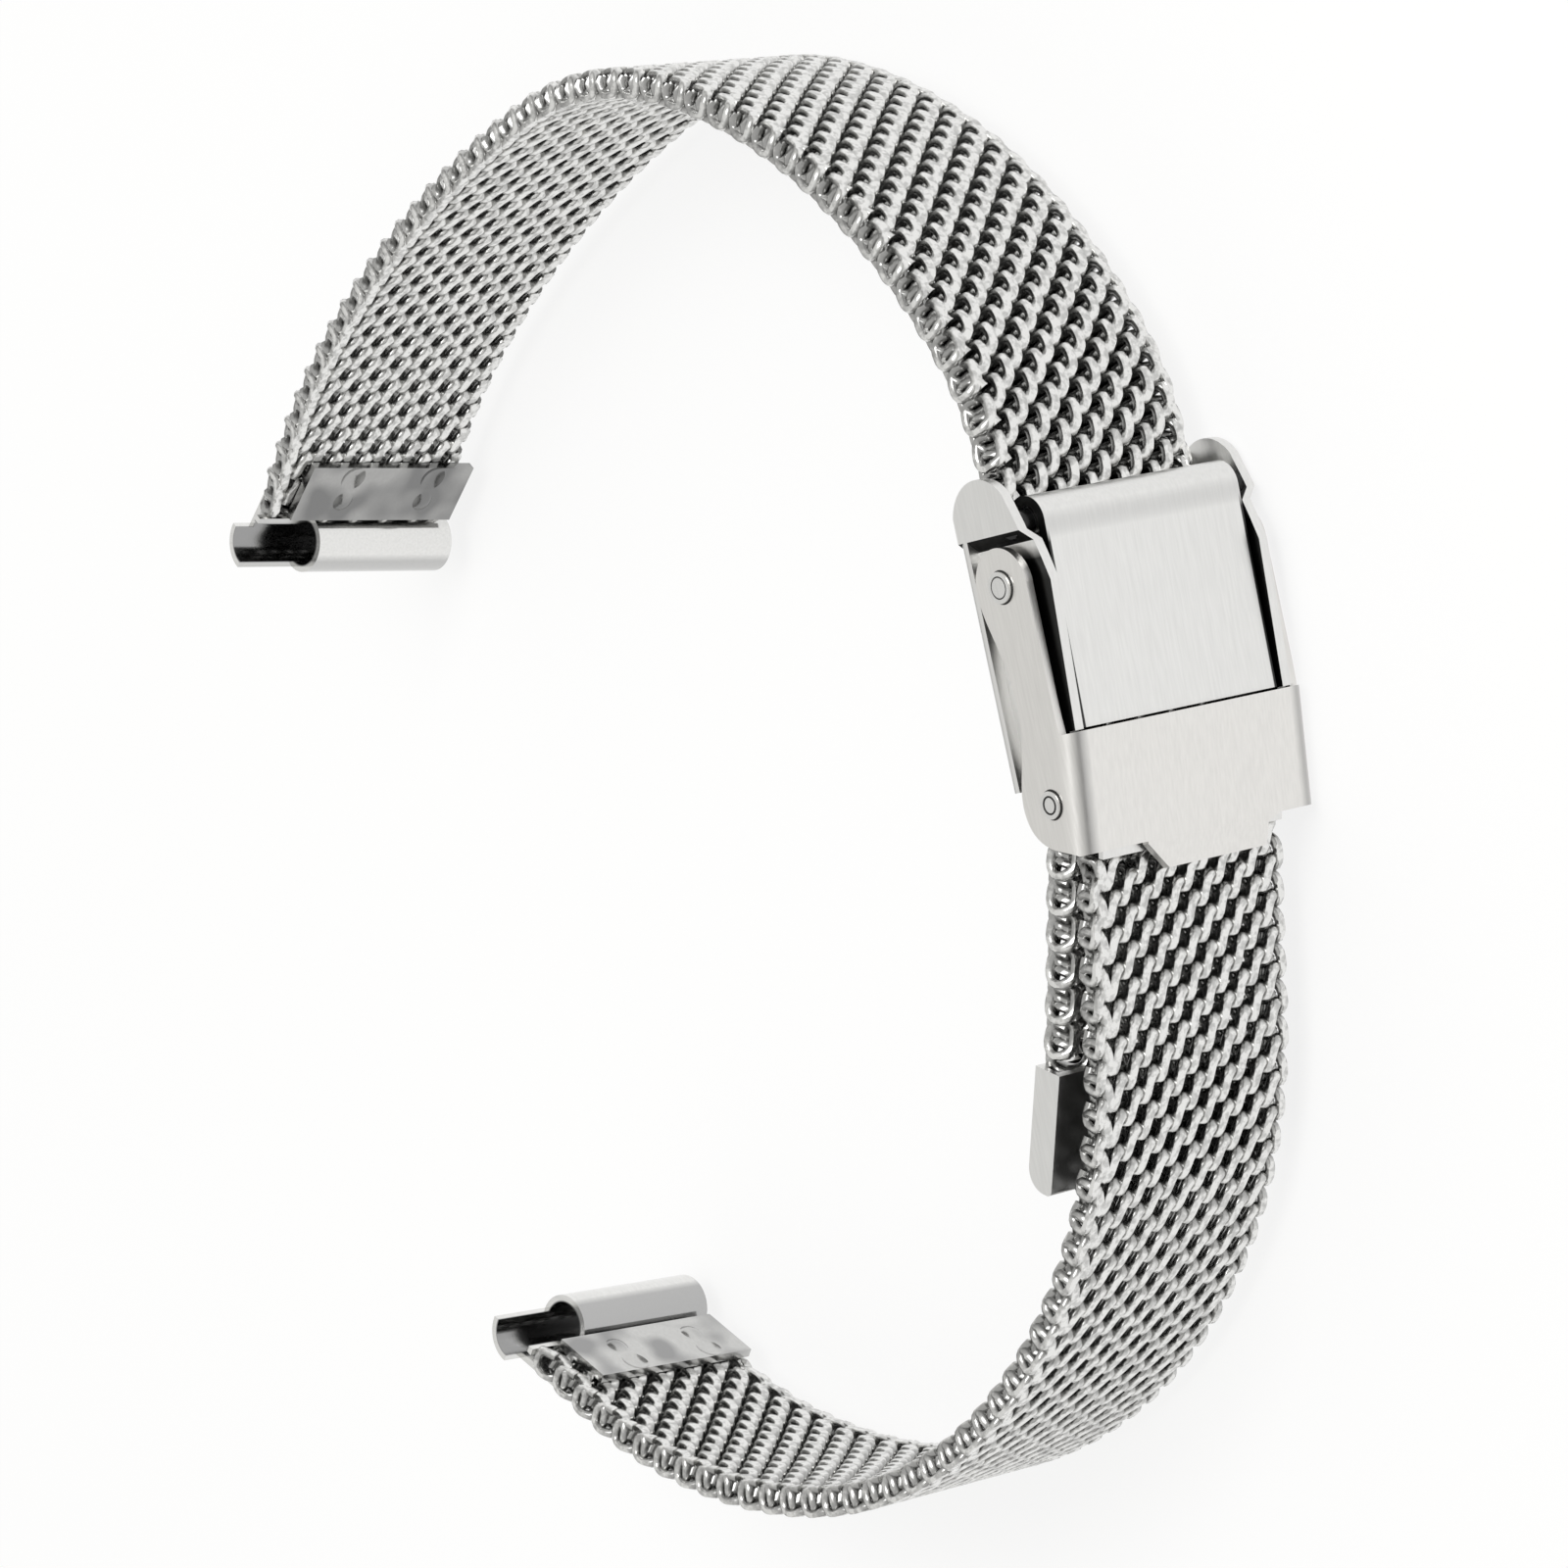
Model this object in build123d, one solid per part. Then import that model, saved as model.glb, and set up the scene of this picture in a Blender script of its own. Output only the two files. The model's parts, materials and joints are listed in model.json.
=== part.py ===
from build123d import *
import math
import os

# Milanese mesh band with a sliding clasp, lying on its edge, in millimetres.
# +Z runs across the strap, +Y from the low loop to the high one, +X to the clasp side.

# Mesh strap: rows of flattened coils side by side, each row as thick as the strap
strap_width = 11.74
mesh_thickness = 1.5
row_spacing = 0.861
row_clearance = 0.1
row_crest = 0.5
row_waist = 1.2
tail_rows = 16
loose_tail_rows = 19
strap_sections = 8
long_section_rows = 11
short_section_rows = 10

# Sheet metal
frame_sheet = 0.5
cover_sheet = 0.4
lock_sheet = 0.5
hook_sheet = 0.3
tip_leaf = 0.42
tube_wall = 0.35
crimp_sheet = 0.45

# Slider frame of the clasp
clasp_lean_degrees = -70.785
frame_length = 12.7
channel_side_gap = 0.23
frame_corner_radius = 0.6
base_end_gap = 0.4
mesh_gap = 0.1
clasp_room = 3.09
joggle_start = 1.1
joggle_run = 0.55
joggle_depth = 0.6
rail_height = 0.65
rail_bend_radius = 0.45

# Locking plate and its pin
plate_side_gap = 0.2
plate_face_rise = 1.2
plate_pin_radius = 0.65
plate_pin_clearance = 0.05
pin_seat_depth = 0.3
nose_width = 0.55
nose_gap = 0.12

# Safety cover, its two rivets and its cross bar
arm_gap = 0.32
cover_plate_gap = 0.12
cover_bend_radius = 1.0
arm_end_radius = 1.8
rivet_radius = 0.5
rivet_head_radius = 0.735
rivet_head_height = 0.15
rivet_clearance = 0.04
bar_radius = 0.55
bar_head_radius = 0.65
bar_seat_clearance = 0.01
hook_clearance = 0.05
hook_side_inset = 0.37
hook_lap = 0.4

# Where the two straps start, and the tip of the tail
loose_tail_degrees = -89.0
strap_gap = 0.3
short_start_degrees = -86.9
tip_side_lap = 0.33
tip_length = 6.0
tip_thickness = 1.66
tip_end_round = 1.1
tip_edge_round = 0.3
tip_gap = 0.02

# End fittings: a rolled tube for the watch bar, closed on the mesh by a crimp plate
tube_outer_radius = 1.6
tube_side_lap = 0.23
tube_notch_length = 3.5
tube_notch_depth = 0.1
tube_roll_end_degrees = 170.0
flange_length = 4.6
flange_side_inset = 1.1
tube_to_mesh_back = 2.4
tube_to_mesh_rise = 0.48
crimp_gap = 0.02
crimp_start = 1.98
crimp_length = 3.45
crimp_near_inset = 1.2
crimp_far_inset = 0.1
dimple_radius = 1.2
dimple_depth = 0.25
bump_radius = 0.9
bump_height = 0.22
dimple_back = 2.75
bump_back = 1.25

# Arcs of the loose tail from its bend: share of its length, turn in degrees
loose_arc_shares = [(0.55, -1.5), (0.45, -4.5)]

# Arcs of the long strap from the clasp: share of its length, turn in degrees
long_arc_shares = [
    (0.0207, 0.0), (0.0776, 25.1), (0.3114, 43.9), (0.1566, 32.9),
    (0.2602, 17.3), (0.1312, 13.7), (0.0423, 0.0),
]

# Arcs of the short strap from the hook: share of its length, turn in degrees
short_arc_shares = [
    (0.1294, 1.9), (0.1914, -30.7), (0.3401, -44.9),
    (0.2086, -24.0), (0.0840, -13.1), (0.0465, 0.0),
]

# Twist of each strap: share of its length where it starts, slope in x and y at its end
long_twist_shares = (0.22, 0.02, 0.158)
short_twist_shares = (0.50, 0.10, 0.130)

# Places in the clasp's side view: share of the frame's length, share of its height
plate_pivot_share = (0.0630, 0.6936)
plate_end_share = (0.8189, 0.8671)
arm_pivot_share = (0.2709, 0.4913)
cover_start_height_share = 0.9750
cover_end_share = (1.2638, 0.8073)
tab_end_share = (1.3717, 0.7129)
tab_root_share = 1.2441
bar_share = (1.0646, 0.5530)
tail_bend_share = 1.0709
short_drop_share = 0.1598
tip_rows_share = 0.2316
lobe_shares = [(-0.0063, 0.0), (-0.1236, 0.3545), (-0.0496, 0.7225)]
wall_top_shares = [
    (0.0646, 0.8343), (0.1913, 0.9364), (0.2803, 1.0), (0.8228, 0.9056),
    (0.8228, 0.8280), (1.0, 0.7670), (1.0, 0.0443), (0.9693, 0.0),
]
arm_back_shares = [
    (0.4370, 0.2312), (0.6945, 0.3642), (0.9031, 0.2640),
    (1.0339, 0.1657), (1.1465, 0.2177), (1.2236, 0.4528),
]
arm_front_share = 0.8343

# Outline of the thumb tab: share of the frame's length, share of the strap's width
tab_plan_shares = [
    (1.2441, 0.2896), (1.2732, 0.2811), (1.3717, 0.1704),
    (1.3717, -0.3407), (1.2913, -0.3492), (1.2567, -0.4259), (1.2441, -0.4259),
]
bump_place_shares = [-0.27, 0.23]

# Sizes and places that follow from the ones above
mesh_top = frame_sheet + mesh_gap + mesh_thickness
frame_height = mesh_top + clasp_room
frame_inner_width = strap_width + 2 * channel_side_gap
frame_envelope = frame_length + frame_height
joggle_end = joggle_start + joggle_run
plate_width = frame_inner_width - 2 * plate_side_gap
plate_pivot_along = plate_pivot_share[0] * frame_length
plate_pivot_height = plate_pivot_share[1] * frame_height
plate_end_along = plate_end_share[0] * frame_length
plate_end_height = plate_end_share[1] * frame_height
arm_pivot_along = arm_pivot_share[0] * frame_length
arm_pivot_height = arm_pivot_share[1] * frame_height
cover_start = plate_end_along + cover_plate_gap
cover_start_height = cover_start_height_share * frame_height
cover_end = cover_end_share[0] * frame_length
cover_end_height = cover_end_share[1] * frame_height
tab_end = tab_end_share[0] * frame_length
tab_end_height = tab_end_share[1] * frame_height
tab_root = tab_root_share * frame_length
bar_along = bar_share[0] * frame_length
bar_height = bar_share[1] * frame_height
hook_width = strap_width - 2 * hook_side_inset
tip_width = strap_width + 2 * tip_side_lap
tube_length = strap_width + 2 * tube_side_lap


def turned(point, degrees):
    """A point in the plane turned about the origin."""
    c = math.cos(math.radians(degrees))
    s = math.sin(math.radians(degrees))
    return (c * point[0] - s * point[1], s * point[0] + c * point[1])


def from_clasp(along, height):
    """Clasp coordinates to the band's plane."""
    return turned((along, height), clasp_lean_degrees)


def walk(start, heading, arcs, length, distance):
    """Point and heading after a distance along a chain of arcs."""
    x, y = start
    left = distance
    for share, turn in arcs:
        full = share * length
        step = min(left, full)
        change = turn * step / full
        middle = math.radians(heading + change / 2)
        half = math.radians(change) / 2
        chord = step if abs(half) < 1e-9 else step * math.sin(half) / half
        x += chord * math.cos(middle)
        y += chord * math.sin(middle)
        heading += change
        left -= step
        if left <= 0:
            break
    end = math.radians(heading)
    return (x + left * math.cos(end), y + left * math.sin(end)), heading


def twist_at(twist, share):
    """Slope of the rows in x and y at a share of the strap's length."""
    start, slope_x, slope_y = twist
    grown = max(share - start, 0) / (1 - start)
    return (slope_x * grown, slope_y * grown)


def slant_plane(slope):
    """The plane square to the row's slant, through the band's middle."""
    return Plane(origin=(0, 0, 0), x_dir=(1, 0, -slope[0]), z_dir=(slope[0], slope[1], 1))


def on_slant(point, slope):
    """A row centre's place in the plane square to the slant."""
    plane = slant_plane(slope)
    away = Vector(point[0], point[1], 0)
    return (away.dot(plane.x_dir), away.dot(plane.y_dir))


def slanted(profile, width, slope):
    """A flat profile carried across the strap along the row's slant."""
    plane = slant_plane(slope)
    reach = width + mesh_thickness
    block = plane.location * (Pos(0, 0, -reach) * extrude(profile, 2 * reach))
    return block & slab(width)


def slab(width):
    """The space between the two edges of the strap."""
    wide = (strap_sections * long_section_rows + tail_rows + loose_tail_rows) * row_spacing
    return Box(4 * wide, 4 * wide, width)


def row_bar():
    """One row's section: flat crests on both faces and a deep furrow on each side."""
    crest = row_crest / 2
    high = mesh_thickness / 2
    waist = row_waist / 2
    return make_face(Polyline(
        (-crest, high), (crest, high), (waist, 0), (crest, -high), (-crest, -high), (-waist, 0),
        close=True))


def row_block(points, slope, round_rows):
    """A block of mesh rows: crested bars, and a round bar where it hinges."""
    points = [on_slant(p, slope) for p in points]
    before = points[:1] + points[:-1]
    after = points[1:] + points[-1:]
    profile = Sketch()
    for i, (a, p, b) in enumerate(zip(before, points, after)):
        heading = math.degrees(math.atan2(b[1] - a[1], b[0] - a[0]))
        bar = Circle(mesh_thickness / 2) if i in round_rows else row_bar()
        profile += Pos(*p) * Rot(0, 0, heading) * bar
    return slanted(profile, strap_width, slope)


def row_socket(point, slope):
    """The room that a row needs to turn in the next section."""
    radius = mesh_thickness / 2 + row_clearance
    place = Pos(*on_slant(point, slope))
    return slanted(place * Circle(radius), strap_width + mesh_thickness, slope)


def strap_path(start, heading, arcs, rows):
    """Row centres of a strap, from the row that it hangs on."""
    length = rows * row_spacing
    return [
        walk(start, heading, arcs, length, k * row_spacing)[0]
        for k in range(rows + 1)
    ]


def strap_slopes(twist):
    """Row slant of each section of a strap."""
    return [
        twist_at(twist, (i + 1 / 2) / strap_sections)
        for i in range(strap_sections)
    ]


def strap_blocks(path, section_rows, slopes, first_slope):
    """The sections of a strap, each hung on the last row of the one before."""
    blocks = []
    before = first_slope
    for i, slope in enumerate(slopes):
        low = i * section_rows
        rows = path[low + 1: low + section_rows + 1]
        block = row_block(rows, slope, [section_rows - 1])
        if before is not None:
            block -= row_socket(path[low], before)
        blocks.append(block)
        before = slope
    return blocks


def tail_points():
    """Row centres of the straight mesh inside the clasp, bend first."""
    height = frame_sheet + mesh_gap + mesh_thickness / 2
    return [
        from_clasp(tail_bend_share * frame_length - k * row_spacing, height)
        for k in range(tail_rows + 1)
    ]


def loose_tail_points():
    """Row centres of the loose tail below the clasp, hinge row first."""
    start = tail_points()[0]
    return strap_path(start, loose_tail_degrees, loose_arc_shares, loose_tail_rows)


def long_path():
    """Row centres of the long strap from the clasp to the bar tube."""
    rows = strap_sections * long_section_rows
    heading = clasp_lean_degrees + 180
    return strap_path(tail_points()[-1], heading, long_arc_shares, rows)


def short_start():
    """Where the short strap leaves the hook plate, just off the loose tail."""
    bend = tail_points()[0]
    drop = short_drop_share * frame_length
    return (bend[0] + mesh_thickness + strap_gap, bend[1] - drop)


def short_path():
    """Row centres of the short strap from the hook to the bar tube."""
    rows = strap_sections * short_section_rows
    return strap_path(short_start(), short_start_degrees, short_arc_shares, rows)


def outline(points, length, height):
    """Points given as shares of a length and a height."""
    return [(a * length, b * height) for a, b in points]


def across(profile, width):
    """A clasp profile carried across the clasp, centred on it."""
    return Pos(0, 0, -width / 2) * extrude(profile, width)


def frame_outline():
    """Side view of the slider frame: base, lobe and wall top."""
    lobe = outline(lobe_shares, frame_length, frame_height)
    top = outline(wall_top_shares, frame_length, frame_height)
    edge = ThreePointArc(lobe[0], lobe[1], lobe[2])
    rest = Polyline(lobe[2], *top, (0, 0), lobe[0])
    return make_face([edge, rest])


def channel_section():
    """End view of the folded channel, rounded at its two bends."""
    outer = frame_inner_width + 2 * frame_sheet
    inner_radius = max(frame_corner_radius - frame_sheet, frame_sheet / 10)
    tall = frame_envelope
    shell = Pos(0, tall / 2) * RectangleRounded(outer, tall, frame_corner_radius)
    room = Pos(0, tall / 2 + frame_sheet) * RectangleRounded(
        frame_inner_width, tall, inner_radius)
    return shell - room


def rail_section():
    """End view of the base, whose rounded rails run on under the cover's arms."""
    outer = frame_inner_width + 2 * frame_sheet + 2 * joggle_depth
    whole = Pos(frame_envelope / 2, 0) * RectangleRounded(frame_envelope, outer, rail_bend_radius)
    low = Pos(rail_height / 2, 0) * Rectangle(rail_height, outer)
    room = Pos(frame_sheet + frame_envelope / 2, 0) * Rectangle(frame_envelope, frame_inner_width)
    return (whole & low) - room


def joggled_walls():
    """Plan view of the two walls, stepped outward at the lobes."""
    low = frame_inner_width / 2
    high = low + joggle_depth
    start = -frame_envelope / 2
    inner = [(start, high), (joggle_start, high), (joggle_end, low), (joggle_end + frame_sheet, low)]
    outer = [(a, b + frame_sheet) for a, b in reversed(inner)]
    wall = make_face(Polyline(*inner, *outer, close=True))
    return wall + mirror(wall, about=Plane.XZ)


def slider_frame():
    """Folded channel that slides on the tail, with the lobes that hold the pin."""
    side = across(frame_outline(), 2 * frame_envelope)
    section = Plane(origin=(joggle_end, 0, 0), x_dir=(0, 0, -1), z_dir=(1, 0, 0))
    channel = extrude(section * channel_section(), frame_length)
    plan = Plane(origin=(0, -frame_sheet, 0), x_dir=(1, 0, 0), z_dir=(0, 1, 0))
    walls = extrude(plan * joggled_walls(), frame_envelope)
    base = extrude(Plane.YZ * rail_section(), 2 * frame_envelope, both=True)
    end_cut = Pos(frame_length * 3 / 2 - base_end_gap, frame_sheet, 0) * Box(
        frame_length, 2 * frame_sheet, frame_inner_width)
    frame = (channel + walls + base) & side
    frame -= end_cut
    frame -= across(Pos(plate_pivot_along, plate_pivot_height) * Circle(plate_pin_radius), pin_length())
    rivet_hole = Circle(rivet_radius + bar_seat_clearance)
    frame -= across(Pos(arm_pivot_along, arm_pivot_height) * rivet_hole, 2 * frame_envelope)
    return frame


def pin_length():
    """Length of the plate pin, which ends in blind seats in the lobes."""
    return frame_inner_width + 2 * joggle_depth + 2 * pin_seat_depth


def plate_pin():
    """Round pin of the locking plate."""
    return across(Pos(plate_pivot_along, plate_pivot_height) * Circle(
        plate_pin_radius - bar_seat_clearance), pin_length() - 2 * bar_seat_clearance)


def locking_plate():
    """Flat plate curled round the pin, with the nose that presses on the mesh."""
    outer = plate_face_rise
    inner = plate_pin_radius + plate_pin_clearance
    reach = plate_pivot_height - mesh_top - nose_gap
    pivot = Pos(plate_pivot_along, plate_pivot_height)
    ring = Circle(outer) - Circle(inner)
    half = Pos(-outer, 0) * Rectangle(2 * outer, 4 * outer)
    nose = make_face(Polyline(
        (-nose_width / 2, -inner), (nose_width / 2, -inner),
        (nose_width / 2, -reach), (0, -reach), close=True))
    nose -= Circle(inner)
    curl = pivot * ((ring & half) + nose)
    top = plate_pivot_height + outer
    leaf = make_face(Polyline(
        (plate_pivot_along, top), (plate_end_along, plate_end_height),
        (plate_end_along, plate_end_height - lock_sheet),
        (plate_pivot_along, top - lock_sheet), close=True))
    return across(curl + leaf, plate_width)


def arm_outer_width():
    """Width over the two arms of the safety cover."""
    return frame_inner_width + 2 * frame_sheet + 2 * arm_gap + 2 * cover_sheet


def cover_slope():
    """Rise of the cover's outer face for each unit along the clasp."""
    return (cover_end_height - cover_start_height) / (cover_end - cover_start)


def cover_face(along):
    """Height of the cover's outer face."""
    return cover_start_height + cover_slope() * (along - cover_start)


def cover_outline():
    """Side view of the cover: two arms that widen into the cover plate."""
    back = outline(arm_back_shares, frame_length, frame_height)
    front = arm_front_share * frame_height
    end_low = (arm_pivot_along, arm_pivot_height - arm_end_radius)
    end_far = (arm_pivot_along - arm_end_radius, arm_pivot_height)
    end_top = (arm_pivot_along, arm_pivot_height + arm_end_radius)
    toe = (cover_end, cover_face(cover_end) - cover_sheet)
    edge = ThreePointArc(end_top, end_far, end_low)
    curve = Spline(end_low, *back, toe, tangents=[(1, 0), (back[-1][1] - back[-2][1], cover_sheet * 4)])
    rest = Polyline(
        toe, (cover_end, cover_face(cover_end) + cover_sheet),
        (cover_start, cover_start_height + cover_sheet),
        (cover_start, front), (arm_pivot_along, front), end_top)
    return make_face([edge, curve, rest])


def cover_section():
    """End view of the folded cover, rounded at its two bends."""
    outer = arm_outer_width()
    inner = outer - 2 * cover_sheet
    tall = frame_envelope
    shell = Pos(0, -tall / 2) * RectangleRounded(outer, tall, cover_bend_radius)
    room = Pos(0, -tall / 2 - cover_sheet) * RectangleRounded(
        inner, tall, cover_bend_radius - cover_sheet)
    return shell - room


def cover_tab():
    """Thumb tab at the low edge of the cover."""
    root = cover_face(tab_root)
    side = make_face(Polyline(
        (tab_root, root), (cover_end, cover_face(cover_end)), (tab_end, tab_end_height),
        (tab_end, tab_end_height - cover_sheet),
        (cover_end, cover_face(cover_end) - cover_sheet), (tab_root, root - cover_sheet), close=True))
    plan = make_face(Polyline(*outline(tab_plan_shares, frame_length, strap_width), close=True))
    low = Plane(origin=(0, -frame_envelope, 0), x_dir=(1, 0, 0), z_dir=(0, 1, 0))
    flipped = mirror(plan, about=Plane.XZ)
    return across(side, frame_envelope) & extrude(low * flipped, 2 * frame_envelope)


def safety_cover():
    """Cover with two arms, hinged on the rivets."""
    slope = cover_slope()
    run = Vector(1, slope, 0).normalized()
    start = (0, cover_face(0), 0)
    section = Plane(origin=start, x_dir=(0, 0, -1), z_dir=tuple(run))
    folded = extrude(section * cover_section(), 2 * frame_envelope)
    cover = folded & across(cover_outline(), 2 * frame_envelope)
    cover += cover_tab()
    rivet = Circle(rivet_radius + rivet_clearance)
    cover -= across(Pos(arm_pivot_along, arm_pivot_height) * rivet, 2 * frame_envelope)
    seat = Circle(bar_radius + bar_seat_clearance)
    return cover - across(Pos(bar_along, bar_height) * seat, 2 * frame_envelope)


def pivot_rivets():
    """The two short rivets that carry the cover's arms."""
    low = frame_inner_width / 2
    high = arm_outer_width() / 2
    shank = Pos(0, 0, low) * extrude(Circle(rivet_radius), high - low + rivet_clearance)
    head = Pos(0, 0, high + rivet_clearance) * extrude(Circle(rivet_head_radius), rivet_head_height)
    near = Pos(arm_pivot_along, arm_pivot_height, 0) * (shank + head)
    return near + mirror(near, about=Plane.XY)


def hook_bar():
    """Cross bar between the cover's arms, riveted at both ends."""
    high = arm_outer_width() / 2 + bar_seat_clearance
    bar = across(Circle(bar_radius), 2 * high)
    head = Pos(0, 0, high) * extrude(Circle(bar_head_radius), rivet_head_height)
    return Pos(bar_along, bar_height, 0) * (bar + head + mirror(head, about=Plane.XY))


def hook_plate():
    """Hook of the short strap: curled over the bar and lapped on the mesh."""
    inner = bar_radius + hook_clearance
    outer = inner + hook_sheet
    ring = Circle(outer) - Circle(inner)
    reach = 2 * outer
    sector = make_face(Polyline((0, 0), (0, reach), (-reach, reach), (-reach, -reach / 2), close=True))
    curl = Pos(bar_along, bar_height) * (ring & sector)
    heading = math.radians(short_start_degrees - clasp_lean_degrees)
    ahead = (math.cos(heading), math.sin(heading))
    side = (-ahead[1], ahead[0])
    face = mesh_thickness / 2 + crimp_gap
    start = turned(short_start(), -clasp_lean_degrees)
    first = (start[0] + side[0] * face, start[1] + side[1] * face)
    back = mesh_thickness / 4
    knee = (first[0] - ahead[0] * back, first[1] - ahead[1] * back)
    lap = (first[0] + ahead[0] * (hook_lap - back), first[1] + ahead[1] * (hook_lap - back))
    top = (bar_along, bar_height + inner)
    strip = make_face(Polyline(
        top, knee, lap,
        (lap[0] + side[0] * hook_sheet, lap[1] + side[1] * hook_sheet),
        (knee[0] + side[0] * hook_sheet, knee[1] + side[1] * hook_sheet),
        (top[0], top[1] + hook_sheet), close=True))
    return across(curl + strip, hook_width)


def tongue_length():
    """How much of the tail's end is pressed flat inside the tip."""
    return tip_rows_share * loose_tail_rows * row_spacing


def tip_place():
    """Place of the tip: on the last row, with the tail running up its own axis."""
    a, b = loose_tail_points()[-2:]
    heading = math.degrees(math.atan2(b[1] - a[1], b[0] - a[0]))
    return Pos(*b) * Rot(0, 0, heading + 90)


def tail_tongue():
    """The tail's last rows, pressed flat to fit the tip."""
    thick = tip_thickness - 2 * tip_leaf - 2 * tip_gap
    long = tongue_length()
    return tip_place() * Pos(0, long / 2, 0) * Box(thick, long, strap_width)


def end_tip():
    """Folded tip on the end of the tail, closed at both edges."""
    top = tongue_length()
    side = Pos(0, top - tip_length / 2) * Rectangle(tip_thickness, tip_length)
    low = side.vertices().group_by(Axis.Y)[0].sort_by(Axis.X)
    side = fillet(low[0], tip_end_round)
    low = side.vertices().group_by(Axis.Y)[0].sort_by(Axis.X)
    side = fillet(low[-1], tip_edge_round)
    room = tip_thickness - 2 * tip_leaf
    pocket = Pos(0, top / 2 - tip_gap, 0) * Box(room, top + 2 * tip_gap, strap_width + 2 * tip_gap)
    return tip_place() * (across(side, tip_width) - pocket)


def fitting_plane(path, slope, side):
    """Plane of an end fitting: x along the strap, y away from the wrist."""
    a = path[-2]
    b = path[-1]
    ahead = Vector(b[0] - a[0], b[1] - a[1], 0).normalized()
    across_axis = Vector(slope[0], slope[1], 1).normalized() * -side
    outward = across_axis.cross(ahead).normalized()
    along = outward.cross(across_axis)
    centre = Vector(b[0], b[1], 0) + along * tube_to_mesh_back - outward * tube_to_mesh_rise
    return Plane(origin=tuple(centre), x_dir=tuple(along), z_dir=tuple(across_axis))


def bar_tube():
    """Rolled tube for the watch bar, with the flange that lies on the mesh."""
    bore = tube_outer_radius - tube_wall
    ring = Circle(tube_outer_radius) - Circle(bore)
    end = math.radians(tube_roll_end_degrees)
    far = 2 * tube_outer_radius
    gap = make_face(Polyline(
        (0, 0), (far * math.cos(end), far * math.sin(end)), (-far, far), (0, far), close=True))
    flange = Pos(-flange_length / 2, bore + tube_wall / 2) * Rectangle(flange_length, tube_wall)
    return across(ring - gap, tube_length) + across(flange, tube_length - 2 * flange_side_inset)


def tube_notch(side):
    """The part of the roll that is left open at the near end."""
    wide = 4 * tube_outer_radius
    near = -side * (tube_length / 2 - tube_notch_length / 2)
    tall = 2 * tube_outer_radius
    return Pos(0, -tall / 2 - tube_notch_depth, near) * Box(wide, tall, tube_notch_length)


def crimp_plate(side):
    """Plate pressed on the mesh at the wrist side, with two pressed dimples."""
    face = tube_to_mesh_rise - mesh_thickness / 2 - crimp_gap
    near = strap_width / 2 - crimp_near_inset
    far = strap_width / 2 - crimp_far_inset
    middle = -side * (near - far) / 2
    plate = Pos(-crimp_start - crimp_length / 2, face - crimp_sheet / 2, middle) * Box(
        crimp_length, crimp_sheet, near + far)
    low = face - crimp_sheet
    for share in bump_place_shares:
        place = middle - side * share * (near + far)
        bump_rise = bump_radius - bump_height
        bump = Pos(-crimp_start - bump_back, low + bump_rise, place) * Sphere(bump_radius)
        room = Pos(0, face + bump_radius, place) * Box(4 * flange_length, 2 * bump_radius, 2 * bump_radius)
        plate += bump - room
        dimple = Pos(-crimp_start - dimple_back, low - dimple_radius + dimple_depth, place)
        plate -= dimple * Sphere(dimple_radius)
    return plate


def fitting(path, slope, side):
    """Tube and crimp plate of one strap end, in the band's plane."""
    plane = fitting_plane(path, slope, side)
    tube = bar_tube() - tube_notch(side)
    return [plane.location * tube, plane.location * crimp_plate(side)]


def straps():
    """Tail, long strap and short strap with their end fittings."""
    straight = (0, 0)
    tail = tail_points()
    loose = loose_tail_points()
    parts = {"tail_mesh_in_clasp": row_block(tail, straight, [0, tail_rows])}
    rows = loose_tail_rows - int(tip_rows_share * loose_tail_rows)
    parts["tail_mesh_loose"] = row_block(loose[1:rows], straight, []) + tail_tongue()
    parts["tail_mesh_loose"] -= row_socket(loose[0], straight)
    parts["tail_end_tip"] = end_tip()
    long_slopes = strap_slopes(long_twist_shares)
    blocks = strap_blocks(long_path(), long_section_rows, long_slopes, straight)
    for i, block in enumerate(blocks):
        parts["long_mesh_" + str(i + 1)] = block
    short_slopes = strap_slopes(short_twist_shares)
    blocks = strap_blocks(short_path(), short_section_rows, short_slopes, None)
    for i, block in enumerate(blocks):
        parts["short_mesh_" + str(i + 1)] = block
    tube, crimp = fitting(long_path(), long_slopes[-1], 1)
    parts["bar_tube_long"] = tube
    parts["crimp_plate_long"] = crimp
    tube, crimp = fitting(short_path(), short_slopes[-1], -1)
    parts["bar_tube_short"] = tube
    parts["crimp_plate_short"] = crimp
    return parts


def clasp():
    """The clasp's parts, turned into the band's plane."""
    turn = Rot(0, 0, clasp_lean_degrees)
    parts = {
        "slider_frame": slider_frame(),
        "plate_pin": plate_pin(),
        "locking_plate": locking_plate(),
        "cover_pivot_rivets": pivot_rivets(),
        "safety_cover": safety_cover(),
        "hook_bar": hook_bar(),
        "hook_plate": hook_plate(),
    }
    return {name: turn * part for name, part in parts.items()}


def base_shift(parts):
    """Move that puts the origin at the middle of the band's base."""
    box = Compound(children=[s for p in parts.values() for s in p.solids()]).bounding_box()
    return Vector(-(box.min.X + box.max.X) / 2, -(box.min.Y + box.max.Y) / 2, -box.min.Z)


def build():
    """All parts of the band in place."""
    parts = {**clasp(), **straps()}
    shift = base_shift(parts)
    return {name: Pos(*shift) * part for name, part in parts.items()}, shift


os.makedirs("parts", exist_ok=True)
band, band_shift = build()
for part_name, part in band.items():
    export_step(Compound(children=list(part.solids())), os.path.join("parts", part_name + ".step"))
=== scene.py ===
import json
import math

import bpy
import numpy as np
from mathutils import Matrix, Vector

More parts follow.
